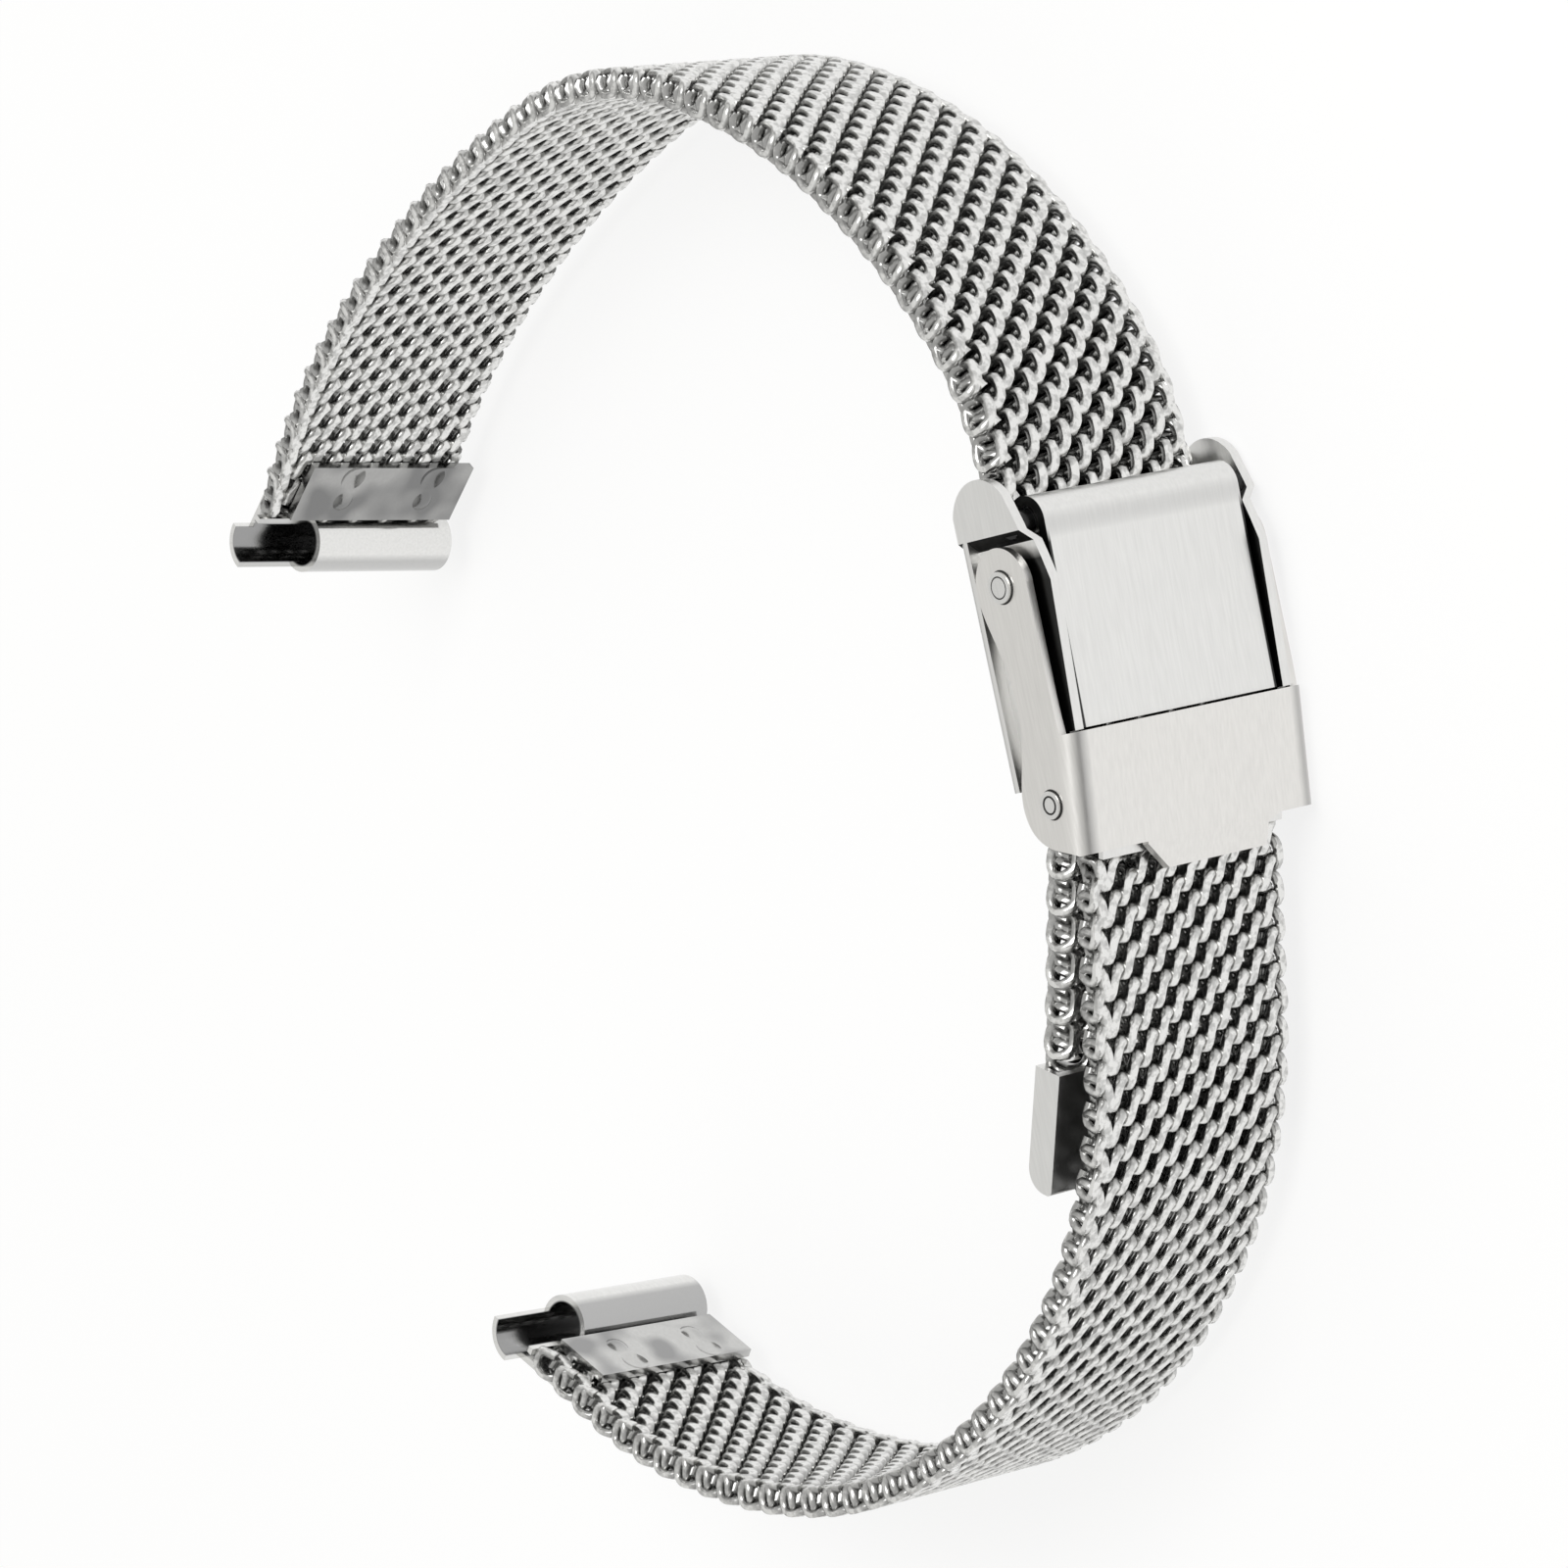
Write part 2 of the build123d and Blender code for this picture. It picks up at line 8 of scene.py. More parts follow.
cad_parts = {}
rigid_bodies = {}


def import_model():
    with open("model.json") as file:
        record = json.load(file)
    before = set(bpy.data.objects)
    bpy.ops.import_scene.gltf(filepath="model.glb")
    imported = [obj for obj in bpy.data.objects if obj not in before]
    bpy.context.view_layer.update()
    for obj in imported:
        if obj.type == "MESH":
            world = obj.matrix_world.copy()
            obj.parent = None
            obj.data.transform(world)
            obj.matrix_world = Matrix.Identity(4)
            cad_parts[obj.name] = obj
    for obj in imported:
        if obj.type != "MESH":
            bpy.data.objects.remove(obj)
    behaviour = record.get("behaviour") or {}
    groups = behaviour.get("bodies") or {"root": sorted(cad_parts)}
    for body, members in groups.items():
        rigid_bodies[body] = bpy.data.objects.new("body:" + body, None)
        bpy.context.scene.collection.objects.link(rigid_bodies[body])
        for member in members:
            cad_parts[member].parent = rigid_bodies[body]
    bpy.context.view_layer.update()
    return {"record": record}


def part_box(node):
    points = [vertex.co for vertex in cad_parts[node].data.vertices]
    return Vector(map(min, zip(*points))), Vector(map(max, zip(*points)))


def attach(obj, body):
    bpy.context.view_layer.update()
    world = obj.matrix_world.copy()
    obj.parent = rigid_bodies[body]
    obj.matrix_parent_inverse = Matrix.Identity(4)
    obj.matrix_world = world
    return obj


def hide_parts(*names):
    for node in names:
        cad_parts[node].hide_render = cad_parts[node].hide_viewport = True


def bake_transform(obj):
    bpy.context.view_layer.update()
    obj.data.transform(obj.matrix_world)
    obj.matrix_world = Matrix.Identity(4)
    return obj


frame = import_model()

MM = 0.001

# The clasp's base corner in the row frame, in metres
LOW = Vector((0.0250935, 0.0186031, 0.00751))

# Camera: its place in millimetres from that corner, its axes and its lens
CAMERA = Vector((241.253, 73.600, 212.106))
RIGHT = Vector((0.62864, 0.0, -0.77769))
UP = Vector((-0.20390, 0.96502, -0.16482))
LOOK = Vector((-0.75049, -0.26219, -0.60665))
SENSOR_WIDTH = 36.0
FOCAL_PIXELS = 7288.0
PICTURE_PIXELS = 1600.0
NEAREST, FARTHEST = 0.01, 5.0

# Clasp and straps, in millimetres, degrees and counts of rows
LEAN = -70.785
FRAME_LENGTH = 12.7
FRAME_HEIGHT = 5.19
ROW = 0.861
WIDTH = 11.74
LOOSE_ROWS, TAIL_ROWS, LONG_ROWS, SHORT_ROWS = 19, 16, 88, 80
SECTION_LONG, SECTION_SHORT, SECTIONS = 11, 10, 8

# Arcs of each stretch of strap: share of its length, turn in degrees
LOOSE_ARCS = [(0.55, -1.5), (0.45, -4.5)]
LONG_ARCS = [
    (0.0207, 0.0), (0.0776, 25.1), (0.3114, 43.9), (0.1566, 32.9),
    (0.2602, 17.3), (0.1312, 13.7), (0.0423, 0.0),
]
SHORT_ARCS = [
    (0.1294, 1.9), (0.1914, -30.7), (0.3401, -44.9),
    (0.2086, -24.0), (0.0840, -13.1), (0.0465, 0.0),
]

# Where and which way the loose tail and the short strap start
TAIL_HINGE_ALONG, TAIL_HINGE_HEIGHT = 13.6, 1.35
LOOSE_HEADING = -89.0
SHORT_START_OUT = 1.8
SHORT_START_BELOW = 0.1598 * FRAME_LENGTH
SHORT_HEADING = -86.9

# Twist of each strap: share of its length where it starts, then the rows' full slopes
LONG_TWIST = (0.22, 0.02, 0.158)
SHORT_TWIST = (0.50, 0.10, 0.130)

# Bend of the tail below the clasp: radius, turn, what it cuts off each side and its length
BEND = 7.5
TURN = LEAN - LOOSE_HEADING
BEND_CUT = BEND * math.tan(math.radians(TURN / 2))
BEND_LENGTH = BEND * math.radians(TURN)

# Lengths of the stretches, where the long strap starts on its path and a path's step
LOOSE_LENGTH = LOOSE_ROWS * ROW
TAIL_LENGTH = TAIL_ROWS * ROW
LONG_LENGTH = LONG_ROWS * ROW
SHORT_LENGTH = SHORT_ROWS * ROW
LONG_START = LOOSE_LENGTH - BEND_CUT + BEND_LENGTH + TAIL_LENGTH - BEND_CUT
PATH_STEP = 0.02

# Weave: one flattened coil for each row, its wire wider at the bends
PITCH = 1.92
LONG_SWING, SHORT_SWING = 0.5, 0.3
SKEW = 0.31
COIL_ALONG = 0.72
COIL_DEEP = 0.57
COIL_SQUARE = 1.9
WIRE = 0.285
BEND_WIDER = 0.36
FLAT = 0.745

# Edges of the weave: bands in millimetres, shares of the wire and the hooked ends
EDGE = WIDTH / 2
EDGE_BAND = 0.5
EDGE_BRIGHT = 0.3
EDGE_THIN = 0.35
EDGE_WIDER = 0.5
EVEN_INSET = 0.95 * WIRE * (1.0 - EDGE_THIN)
ODD_INSET = 0.42
HOOK_TURNS = 0.6
HOOK_TUCK = 0.5

# Mesh of the wire: points in a turn, sides, turns past the edges and the angle kept sharp
SAMPLES = 20
SIDES = 10
SPARE_TURNS = 2
SHARP_DEGREES = 40

# Pieces of the weave: their first rows and how far a bend reaches either side of its hinge
LONG_FIRST_ROW, SHORT_FIRST_ROW = 5, 1
BEND_REACH = 2.5

# Painted light and shade of the wire: the edges' least, the bends' share and the greys by place, with
# painted shade deep in the weave and painted highlights on the bends and edges
EDGE_TONE = 0.5
BEND_TONE = 0.38
WIRE_TONES = [(0.0, 0.24), (0.5, 0.34), (0.8, 0.42), (0.93, 0.63), (0.99, 0.82)]

# Rivets of the cover and heads of the cross bar: place along and up
RIVET = (0.2709 * FRAME_LENGTH, 0.4913 * FRAME_HEIGHT)
BAR = (1.0646 * FRAME_LENGTH, 0.5530 * FRAME_HEIGHT)
ARM_FACE = 7.32
HEAD_RISE = 0.15

# Rings of painted shade in the heads' grooves and round their feet: name, centre, rise above the arm,
# radius, thickness and body
SHADE_RINGS = [
    ("rivet_groove", RIVET, HEAD_RISE, 0.5, 0.055, "clasp_frame"),
    ("rivet_foot", RIVET, 0.0, 0.75, 0.05, "clasp_frame"),
    ("bar_groove", BAR, HEAD_RISE, 0.40, 0.05, "safety_cover"),
    ("bar_foot", BAR, 0.0, 0.67, 0.05, "safety_cover"),
]
RING_POINTS, RING_SIDES = 48, 10

# Directions in the row frame
ALONG_CLASP = Vector((math.cos(math.radians(LEAN)), math.sin(math.radians(LEAN)), 0.0))
OUTWARD = Vector((-math.sin(math.radians(LEAN)), math.cos(math.radians(LEAN)), 0.0))
ACROSS = Vector((0.0, 0.0, 1.0))

# Sockets of a colour mix, which share their names
MIX_FIRST, MIX_SECOND, MIX_RESULT = 6, 7, 2


def place_camera():
    """The camera that sees the part as the photograph does."""
    data = bpy.data.cameras.new("camera")
    data.sensor_fit = "HORIZONTAL"
    data.sensor_width = SENSOR_WIDTH
    data.lens = SENSOR_WIDTH * FOCAL_PIXELS / PICTURE_PIXELS
    data.clip_start = NEAREST
    data.clip_end = FARTHEST
    camera = bpy.data.objects.new("camera", data)
    bpy.context.scene.collection.objects.link(camera)
    turn = Matrix((RIGHT, UP, -LOOK)).transposed().to_4x4()
    camera.matrix_world = Matrix.Translation(CAMERA * MM + LOW) @ turn
    bpy.context.scene.camera = camera
    bpy.context.scene.view_settings.view_transform = "Standard"


def from_clasp(along, height):
    """A place along the clasp's base and above it, turned by the clasp's lean."""
    c, s = math.cos(math.radians(LEAN)), math.sin(math.radians(LEAN))
    return (c * along - s * height, s * along + c * height)


def scaled(arcs, length):
    """Arcs with lengths in place of shares."""
    return [(share * length, turn) for share, turn in arcs]


class Path:
    """A chain of arcs with a point, a heading and a slope of its rows at each distance."""

    def __init__(self, start, heading, arcs, side, twist=(0.0, 0.0, 0.0), twist_start=0.0):
        x, y = start
        heading = math.radians(heading)
        distance = 0.0
        walked = [(x, y, heading, distance)]
        for length, turn_degrees in arcs:
            steps = max(2, int(round(length / PATH_STEP)))
            ahead = length / steps
            turn = math.radians(turn_degrees) / steps
            for _ in range(steps):
                x += ahead * math.cos(heading + turn / 2)
                y += ahead * math.sin(heading + turn / 2)
                heading += turn
                distance += ahead
                walked.append((x, y, heading, distance))
        self.x, self.y, self.heading, self.distance = np.array(walked).T
        self.length = distance
        self.side = side
        self.twist = twist
        self.twist_start = twist_start

    def at(self, distance):
        """Point and heading at a distance, straight on past either end."""
        distance = np.asarray(distance, float)
        inside = np.clip(distance, 0.0, self.length)
        x = np.interp(inside, self.distance, self.x)
        y = np.interp(inside, self.distance, self.y)
        heading = np.interp(inside, self.distance, self.heading)
        past = distance - inside
        return x + past * np.cos(heading), y + past * np.sin(heading), heading

    def slope(self, distance):
        """Slope of the rows in x and y at a distance."""
        start, slope_x, slope_y = self.twist
        share = (distance - self.twist_start) / (self.length - self.twist_start)
        grown = np.clip((share - start) / (1.0 - start), 0.0, 1.0)
        return slope_x * grown, slope_y * grown

    def place(self, row, along, deep, across):
        """Coordinates on one row to the row frame, in metres."""
        x, y, heading = self.at(row + along)
        out_x, out_y = self.side * np.sin(heading), -self.side * np.cos(heading)
        slope_x, slope_y = self.slope(row)
        world = np.stack([
            x + deep * out_x + across * slope_x,
            y + deep * out_y + across * slope_y,
            across,
        ], axis=-1)
        return world * MM + np.array(LOW)


def long_strap_path():
    """From the tip of the tail, through the clasp, to the long end's tube."""
    down = Path(from_clasp(TAIL_HINGE_ALONG, TAIL_HINGE_HEIGHT), LOOSE_HEADING,
                scaled(LOOSE_ARCS, LOOSE_LENGTH), 1.0)
    (upper, upper_turn), (lower, lower_turn) = scaled(LOOSE_ARCS, LOOSE_LENGTH)
    arcs = [
        (lower, -lower_turn), (upper - BEND_CUT, -upper_turn),
        (BEND_LENGTH, TURN), (TAIL_LENGTH - BEND_CUT, 0.0),
    ]
    arcs += scaled(LONG_ARCS, LONG_LENGTH)
    tip = (down.x[-1], down.y[-1])
    return Path(tip, math.degrees(down.heading[-1]) + 180.0, arcs, 1.0, LONG_TWIST, LONG_START)


def short_strap_path():
    """From the hook plate to the short end's tube."""
    x, y = from_clasp(TAIL_HINGE_ALONG, TAIL_HINGE_HEIGHT)
    start = (x + SHORT_START_OUT, y - SHORT_START_BELOW)
    return Path(start, SHORT_HEADING, scaled(SHORT_ARCS, SHORT_LENGTH), -1.0, SHORT_TWIST)


def near_edge(across):
    """How close a point is to either edge of the strap, from 0 to 1."""
    return np.clip((np.abs(across) - (EDGE - EDGE_BAND)) / EDGE_BAND, 0.0, 1.0)


def inner_room(across):
    """1 well inside the strap, falling to 0 towards its edges."""
    return np.clip((EDGE - EDGE_BRIGHT - np.abs(across)) / EDGE_BAND, 0.0, 1.0)


def coil_line(swing, odd, starts_near):
    """Middle of one coil's wire: along, deep and across, hooked back at both edges."""
    turns = WIDTH / PITCH
    step = 2 * math.pi / SAMPLES
    spare = SPARE_TURNS * SAMPLES
    # Neighbouring rows lie half a turn apart
    phase = math.pi * odd
    angle = (np.arange(int(turns * SAMPLES) + 2 * spare) - spare) * step + phase
    start = phase
    if not starts_near:
        start += math.pi + 2 * math.pi * (math.floor(turns) - turns)
    across = EDGE + PITCH / (2 * math.pi) * (start - angle - swing / 2 * np.sin(2 * angle))
    across += SKEW * np.sin(angle)
    reach = EDGE - (ODD_INSET if odd else EVEN_INSET)
    first = np.argmax(across < reach)
    last = len(across) - np.argmax(across[::-1] > -reach)
    hook = int(HOOK_TURNS * SAMPLES)
    tuck = HOOK_TUCK * (np.arange(1, hook + 1) / hook) ** 2
    across[first - hook:first] = reach - tuck[::-1]
    across[last:last + hook] = -reach + tuck
    keep = slice(first - hook, last + hook)
    edge = near_edge(across)
    thinned = WIRE * EDGE_THIN * edge
    along = (COIL_ALONG + EDGE_WIDER * thinned) * np.cos(angle)
    squared = np.tanh(COIL_SQUARE * np.sin(angle)) / math.tanh(COIL_SQUARE)
    deep = COIL_DEEP * (squared * (1.0 - edge) + np.sin(angle) * edge) + thinned * np.sin(angle)
    return along[keep], deep[keep], across[keep]


def bare_metal(along, deep, across, low_end):
    """Painted light and shade of a point of the wire: painted shade deep in the weave, lighter on the flats,
    painted highlights on the low bends and the edges.
    """
    height = np.abs(deep) / FLAT
    half = COIL_ALONG / 2
    bend = np.clip((low_end * along - half) / half, 0.0, 1.0)
    outermost = np.abs(across) > EDGE - EDGE_BRIGHT
    edge = EDGE_TONE + (1.0 - EDGE_TONE) * near_edge(across) * outermost
    return np.maximum(np.minimum(height + BEND_TONE * bend, 1.0), edge)


def tube(line):
    """Rings of points round a wire's middle line, wider at its bends, thinner at the edges."""
    centre = np.stack(line, axis=-1)
    along, deep, across = centre.T
    ahead = np.gradient(centre, axis=0)
    ahead /= np.linalg.norm(ahead, axis=1, keepdims=True)
    out = np.stack([along / COIL_ALONG ** 2, deep / COIL_DEEP ** 2, np.zeros(len(centre))], axis=-1)
    out -= ahead * np.sum(out * ahead, axis=1, keepdims=True)
    out /= np.linalg.norm(out, axis=1, keepdims=True)
    side = np.cross(ahead, out)
    spin = ((np.arange(SIDES) + 0.5) * 2 * math.pi / SIDES)[None, :, None]
    thick = WIRE * (1.0 - EDGE_THIN * near_edge(across))
    inside = np.clip(1.0 - (deep / COIL_DEEP) ** 2, 0.0, 1.0) ** 2
    wide = thick + BEND_WIDER * inside * inner_room(across)
    return centre[:, None, :] + (
        thick[:, None, None] * np.cos(spin) * out[:, None, :]
        + wide[:, None, None] * np.sin(spin) * side[:, None, :])


def row_mesh(path, distance, swing, odd):
    """Points, faces and painted light and shade of one row's wire."""
    starts_near = path.side < 0
    rings = tube(coil_line(swing, odd, starts_near))
    along = rings[..., 0]
    deep = np.clip(rings[..., 1], -FLAT, FLAT)
    across = np.clip(rings[..., 2], -EDGE, EDGE) * -path.side
    points = path.place(distance, along, deep, across).reshape(-1, 3)
    index = np.arange(len(rings) * SIDES).reshape(len(rings), SIDES)
    here, ahead = index[:-1], index[1:]
    after = np.roll(np.arange(SIDES), -1)
    quads = np.stack([here, here[:, after], ahead[:, after], ahead], axis=-1).reshape(-1, 4)
    caps = [index[0][::-1].tolist(), index[-1].tolist()]
    bare = bare_metal(along, deep, across, -path.side)
    return points, quads.tolist() + caps, bare.reshape(-1)


def add_piece(name, mesh, material):
    """A new object in the scene, with its mesh, material and slot."""
    mesh.polygons.foreach_set("use_smooth", [True] * len(mesh.polygons))
    mesh.materials.append(material)
    piece = bpy.data.objects.new(name, mesh)
    bpy.context.scene.collection.objects.link(piece)
    return piece


def weave(name, path, rows, swing):
    """A piece of mesh: its rows' wires in one object."""
    points, faces, brightness = [], [], []
    base = 0
    for number, distance in rows:
        row_points, row_faces, bare = row_mesh(path, distance, swing, number % 2)
        points.append(row_points)
        brightness.append(bare)
        faces += [[i + base for i in face] for face in row_faces]
        base += len(row_points)
    mesh = bpy.data.meshes.new(name)
    mesh.from_pydata(np.concatenate(points).tolist(), [], faces)
    # Painted light and shade of the wire, kept on its points for the material
    layer = mesh.attributes.new("bare", "FLOAT", "POINT")
    layer.data.foreach_set("value", np.concatenate(brightness).astype(np.float32))
    piece = add_piece(name, mesh, woven)
    mesh.set_sharp_from_angle(angle=math.radians(SHARP_DEGREES))
    return piece


def nodes_of(name):
    """A new material with its node tree and its shader."""
    material = bpy.data.materials.new(name)
    material.use_nodes = True
    tree = material.node_tree
    return material, tree, tree.nodes["Principled BSDF"]


def link(tree, value, socket):
    """Set a socket to a number, or join it to another node's output."""
    if isinstance(value, (int, float)):
        socket.default_value = value
    else:
        tree.links.new(value, socket)


def maths(tree, operation, first, second=0.0):
    """One maths node on two outputs or numbers."""
    node = tree.nodes.new("ShaderNodeMath")
    node.operation = operation
    link(tree, first, node.inputs[0])
    link(tree, second, node.inputs[1])
    return node.outputs[0]


def product(tree, *masks):
    """All the masks multiplied."""
    result = masks[0]
    for mask in masks[1:]:
        result = maths(tree, "MULTIPLY", result, mask)
    return result


def vector_maths(tree, operation, vector, constant, result):
    """One vector node on an output and a constant."""
    node = tree.nodes.new("ShaderNodeVectorMath")
    node.operation = operation
    link(tree, vector, node.inputs[0])
    if constant is not None:
        node.inputs[1].default_value = constant
    return node.outputs[result]


def mapped(tree, value, low, high, to_low=0.0, to_high=1.0):
    """A value carried from one range to another and held at its ends."""
    node = tree.nodes.new("ShaderNodeMapRange")
    node.inputs["From Min"].default_value = low
    node.inputs["From Max"].default_value = high
    node.inputs["To Min"].default_value = to_low
    node.inputs["To Max"].default_value = to_high
    link(tree, value, node.inputs["Value"])
    return node.outputs["Result"]


def above(tree, value, low, soft):
    """0 below a bound, rising softly to 1 over it."""
    return mapped(tree, value, low - soft, low + soft)


def below(tree, value, high, soft):
    """1 below a bound, falling softly to 0 over it."""
    return mapped(tree, value, high + soft, high - soft)


def within(tree, value, low, high, soft):
    """1 between two bounds, falling softly to 0 outside them."""
    return product(tree, above(tree, value, low, soft), below(tree, value, high, soft))


def coordinates(tree, kind):
    """One of the texture coordinates of the object."""
    return tree.nodes.new("ShaderNodeTexCoord").outputs[kind]


def noise_of(tree, place, scale, detail):
    """Noise over a place."""
    node = tree.nodes.new("ShaderNodeTexNoise")
    node.inputs["Scale"].default_value = scale
    node.inputs["Detail"].default_value = detail
    link(tree, place, node.inputs["Vector"])
    return node.outputs["Fac"]


def bump_of(tree, shader, height, strength, distance):
    """Fine relief on a shader."""
    node = tree.nodes.new("ShaderNodeBump")
    node.inputs["Strength"].default_value = strength
    node.inputs["Distance"].default_value = distance
    link(tree, height, node.inputs["Height"])
    link(tree, node.outputs["Normal"], shader.inputs["Normal"])


def ramp(tree, value, stops, warmth=0.0):
    """A value turned into greys by the given places, a little warm."""
    node = tree.nodes.new("ShaderNodeValToRGB")
    while len(node.color_ramp.elements) < len(stops):
        node.color_ramp.elements.new(0.5)
    for element, (place, grey) in zip(node.color_ramp.elements, stops):
        element.position = place
        green = grey * 0.997 * (1.0 - warmth / 2)
        blue = grey * 0.98 * (1.0 - warmth)
        element.color = (grey, green, blue, 1.0)
    link(tree, value, node.inputs["Fac"])
    return node.outputs["Color"]


def wire_material():
    """Polished steel wire with painted light: bright on its flattened faces, painted shade deep in the weave
    and painted glints over it.
    """
    glint_low, glint_high = -0.13, 0.07
    smoothest, roughest = 0.16, 0.30
    material, tree, shader = nodes_of("woven_wire")
    shader.inputs["Metallic"].default_value = 1.0
    place = coordinates(tree, "Object")
    bare = tree.nodes.new("ShaderNodeAttribute")
    bare.attribute_name = "bare"
    # Painted glints: fine noise lightens and darkens the painted light and shade
    speckle = noise_of(tree, place, scale=2800.0, detail=2.0)
    glints = mapped(tree, speckle, 0.3, 0.7, glint_low, glint_high)
    brightness = maths(tree, "ADD", bare.outputs["Fac"], glints)
    link(tree, ramp(tree, brightness, WIRE_TONES), shader.inputs["Base Color"])
    noise = noise_of(tree, place, scale=900.0, detail=3.0)
    link(tree, mapped(tree, noise, 0.0, 1.0, smoothest, roughest), shader.inputs["Roughness"])
    bump_of(tree, shader, noise, strength=0.15, distance=0.00003)
    return material


def steel_material(name, grey, roughness, lines_degrees, relief, warmth=0.0):
    """Steel sheet with fine lines along one direction."""
    material, tree, shader = nodes_of(name)
    shader.inputs["Metallic"].default_value = 1.0
    mapping = tree.nodes.new("ShaderNodeMapping")
    mapping.vector_type = "TEXTURE"
    mapping.inputs["Rotation"].default_value = (0.0, 0.0, math.radians(lines_degrees))
    mapping.inputs["Scale"].default_value = (5.0, 0.35, 0.35)
    link(tree, coordinates(tree, "Object"), mapping.inputs["Vector"])
    noise = noise_of(tree, mapping.outputs["Vector"], scale=2600.0, detail=4.0)
    darker, lighter = grey * 0.95, grey * 1.03
    tone = ramp(tree, noise, [(0.3, darker), (0.7, lighter)], warmth)
    link(tree, tone, shader.inputs["Base Color"])
    link(tree, mapped(tree, noise, 0.0, 1.0, *roughness), shader.inputs["Roughness"])
    bump_of(tree, shader, noise, strength=relief, distance=0.00002)
    return material, tree, shader


def satin_material(name, warmth=0.0):
    """The clasp's satin sheet, brushed along the clasp."""
    return steel_material(
        name, grey=0.80, roughness=(0.26, 0.36), lines_degrees=LEAN, relief=0.15, warmth=warmth)


def pin_steel_material(name):
    """Polished steel of the pins and rivets."""
    return steel_material(name, grey=0.76, roughness=(0.15, 0.25), lines_degrees=LEAN, relief=0.08)


def local(thing, direction):
    """A direction of the row frame in one CAD node's own axes."""
    return thing.matrix_world.to_3x3().inverted() @ direction


def distance_along(tree, thing, direction):
    """Millimetres from the clasp's corner along a direction, for one CAD node."""
    place = coordinates(tree, "Object")
    dot = vector_maths(tree, "DOT_PRODUCT", place, local(thing, direction) / MM, "Value")
    start = (thing.matrix_world.translation - LOW).dot(direction) / MM
    return maths(tree, "ADD", dot, start)


def facing(tree, thing, direction):
    """How far a face of one CAD node looks along a direction, from -1 to 1."""
    normal = coordinates(tree, "Normal")
    return vector_maths(tree, "DOT_PRODUCT", normal, local(thing, direction).normalized(), "Value")


def from_middle(tree, thing):
    """Millimetres from the band's middle plane, to either side."""
    return maths(tree, "ABSOLUTE", distance_along(tree, thing, ACROSS))


def looks_sideways(tree, thing):
    """1 on the faces that look across the band."""
    sideways = maths(tree, "ABSOLUTE", facing(tree, thing, ACROSS))
    return above(tree, sideways, 0.9, soft=0.05)


def darken(tree, shader, amount, grey):
    """Mix a shader's colour toward a grey by a mask."""
    before = shader.inputs["Base Color"].links[0].from_socket
    mix = tree.nodes.new("ShaderNodeMix")
    mix.data_type = "RGBA"
    link(tree, amount, mix.inputs["Factor"])
    link(tree, before, mix.inputs[MIX_FIRST])
    mix.inputs[MIX_SECOND].default_value = (grey, grey, grey, 1.0)
    link(tree, mix.outputs[MIX_RESULT], shader.inputs["Base Color"])


def frame_material(thing):
    """Satin sheet with painted shade in the slots beside the walls and under the lobes' step."""
    step_start, step_end, step_inner, step_outer = 0.9, 2.2, 5.9, 8.0
    wall_inner, wall_outer, wall_foot = 5.0, 6.95, 2.5
    material, tree, shader = satin_material("satin_frame")
    along = distance_along(tree, thing, ALONG_CLASP)
    across = from_middle(tree, thing)
    height = distance_along(tree, thing, OUTWARD)
    walls = product(
        tree, looks_sideways(tree, thing), above(tree, along, step_end, soft=0.3),
        within(tree, across, wall_inner, wall_outer, soft=0.03), above(tree, height, wall_foot, soft=0.4))
    step = product(
        tree, above(tree, facing(tree, thing, ALONG_CLASP), 0.35, soft=0.1),
        within(tree, along, step_start, step_end, soft=0.1),
        within(tree, across, step_inner, step_outer, soft=0.1))
    # Painted shade: the walls' faces in the slots and the lobes' step go near black
    darken(tree, shader, maths(tree, "MAXIMUM", walls, step), grey=0.03)
    return material


def plate_material(thing):
    """Satin sheet with a band of painted shade at its curl and a painted shade line along its sides."""
    curl_low, curl_high, curl_end, curl_share, rim_width = 1.0, 1.2, 1.6, 0.75, 0.13
    material, tree, shader = satin_material("satin_plate")
    along = distance_along(tree, thing, ALONG_CLASP)
    curl = within(tree, along, curl_low, curl_high, soft=0.55)
    # Painted shade: a band at the curl, then the side faces and the rim past the curl
    darken(tree, shader, product(tree, curl, curl_share), grey=0.33)
    darken(tree, shader, looks_sideways(tree, thing), grey=0.06)
    low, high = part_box("locking_plate")
    half = (high[2] - low[2]) / 2 / MM
    outermost = above(tree, from_middle(tree, thing), half - rim_width, soft=0.02)
    darken(tree, shader, product(tree, outermost, above(tree, along, curl_end, soft=0.3)), grey=0.05)
    return material


def tip_material(thing):
    """Satin sheet with painted shade on the face that lies against the other strap."""
    material, tree, shader = satin_material("satin_tip")
    darken(tree, shader, above(tree, facing(tree, thing, OUTWARD), 0.6, soft=0.2), grey=0.30)
    return material


def cover_material(thing):
    """Satin sheet, a little warmer, with painted shade along its two bends."""
    bend_inner, bend_outer, bend_share, arms_end = 6.45, 6.85, 0.8, 10.4
    material, tree, shader = satin_material("satin_cover", warmth=0.025)
    bends = within(tree, from_middle(tree, thing), bend_inner, bend_outer, soft=0.3)
    face = above(tree, distance_along(tree, thing, ALONG_CLASP), arms_end, soft=0.05)
    darken(tree, shader, product(tree, bends, face, bend_share), grey=0.26)
    return material


def pin_material(thing):
    """Polished steel with painted shade on its ends inside their seats."""
    seats_start = 5.9
    material, tree, shader = pin_steel_material("pin_in_seats")
    darken(tree, shader, above(tree, from_middle(tree, thing), seats_start, soft=0.1), grey=0.04)
    return material


